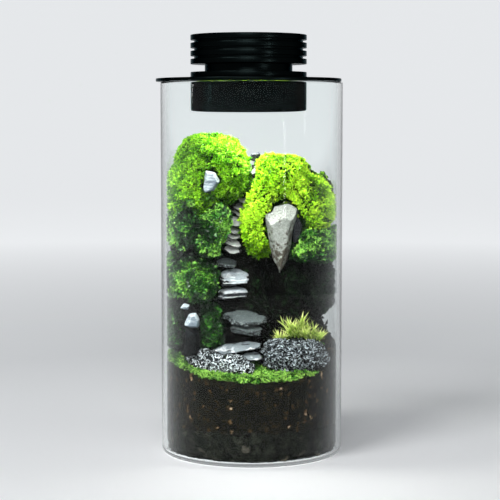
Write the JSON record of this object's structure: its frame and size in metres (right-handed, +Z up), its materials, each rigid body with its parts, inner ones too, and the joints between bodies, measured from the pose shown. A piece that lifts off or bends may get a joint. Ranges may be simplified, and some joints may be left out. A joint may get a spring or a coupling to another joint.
{
  "type": "glass plant terrarium",
  "caption": "Straight glass jar planted with moss hills and a slate stair over soil and gravel, under a finned lamp lid that rests on the rim.",
  "frame": {"origin": "centre of the jar's flat underside, on the surface that it stands on", "axes": "+Z up along the jar's axis, -Y towards the front of the planting"},
  "size_m": [0.1025, 0.1016, 0.229],
  "materials": {
    "jar_glass": "clear polished glass with a faint green tint at the rim",
    "lamp_black": "black satin anodised",
    "led_board": "white solder mask",
    "led_phosphor": "yellow phosphor",
    "diffuser_white": "frosted white",
    "screw_steel": "plain steel",
    "inlet_steel": "plain steel",
    "lead_rubber": "black sleeve",
    "gravel": "rough mixed grains",
    "soil": "damp dark earth with tan grains",
    "bank_earth": "damp dark earth and rock",
    "slate": "split slate, light worn edges",
    "pale_stone": "speckled rough",
    "blue_stone": "smooth split",
    "dark_stone": "rough",
    "lava": "wrinkled, with pale ridges",
    "bright_moss": "dense fine leaves, yellow-green tips",
    "leaf_moss": "small overlapping leaves",
    "dark_moss": "sparse dark leaves",
    "carpet_moss": "short dense pile",
    "tuft_blades": "thin blades, yellow-green"
  },
  "bodies": {
    "root": {"glass_jar": "jar_glass", "heat_sink": "lamp_black", "lid_plate": "lamp_black", "lamp_housing": "lamp_black", "diffuser_retainer": "lamp_black", "led_board": "led_board", "led_chip": "led_phosphor", "diffuser": "diffuser_white", "lamp_screw_1": "screw_steel", "lamp_screw_2": "screw_steel", "lamp_screw_3": "screw_steel", "power_inlet": "inlet_steel", "inner_lead": "lead_rubber", "drainage_gravel": "gravel", "soil": "soil", "planting_bank": "bank_earth", "pale_wedge": "pale_stone", "saddle_stone": "pale_stone", "ravine_stone": "pale_stone", "left_stone_top": "pale_stone", "left_stone": "pale_stone", "blue_stone": "blue_stone", "dark_shard": "dark_stone", "left_post": "dark_stone", "grass_tuft": "tuft_blades", "lava_rock_left": "lava", "lava_rock_right": "lava", "moss_hill_left": "bright_moss", "moss_hill_right": "bright_moss", "moss_ledge_left": "leaf_moss", "moss_clump_left": "leaf_moss", "moss_low_left": "leaf_moss", "moss_low_middle": "leaf_moss", "moss_clump_right": "leaf_moss", "moss_recess": "dark_moss", "moss_carpet": "carpet_moss", "slate_01": "slate", "slate_02": "slate", "slate_03": "slate", "slate_04": "slate", "slate_05": "slate", "slate_06": "slate", "slate_07": "slate", "slate_08": "slate", "slate_09": "slate", "slate_10": "slate", "slate_11": "slate", "slate_12": "slate", "slate_13": "slate", "slate_14": "slate", "slate_15": "slate"}
  },
  "joints": []
}
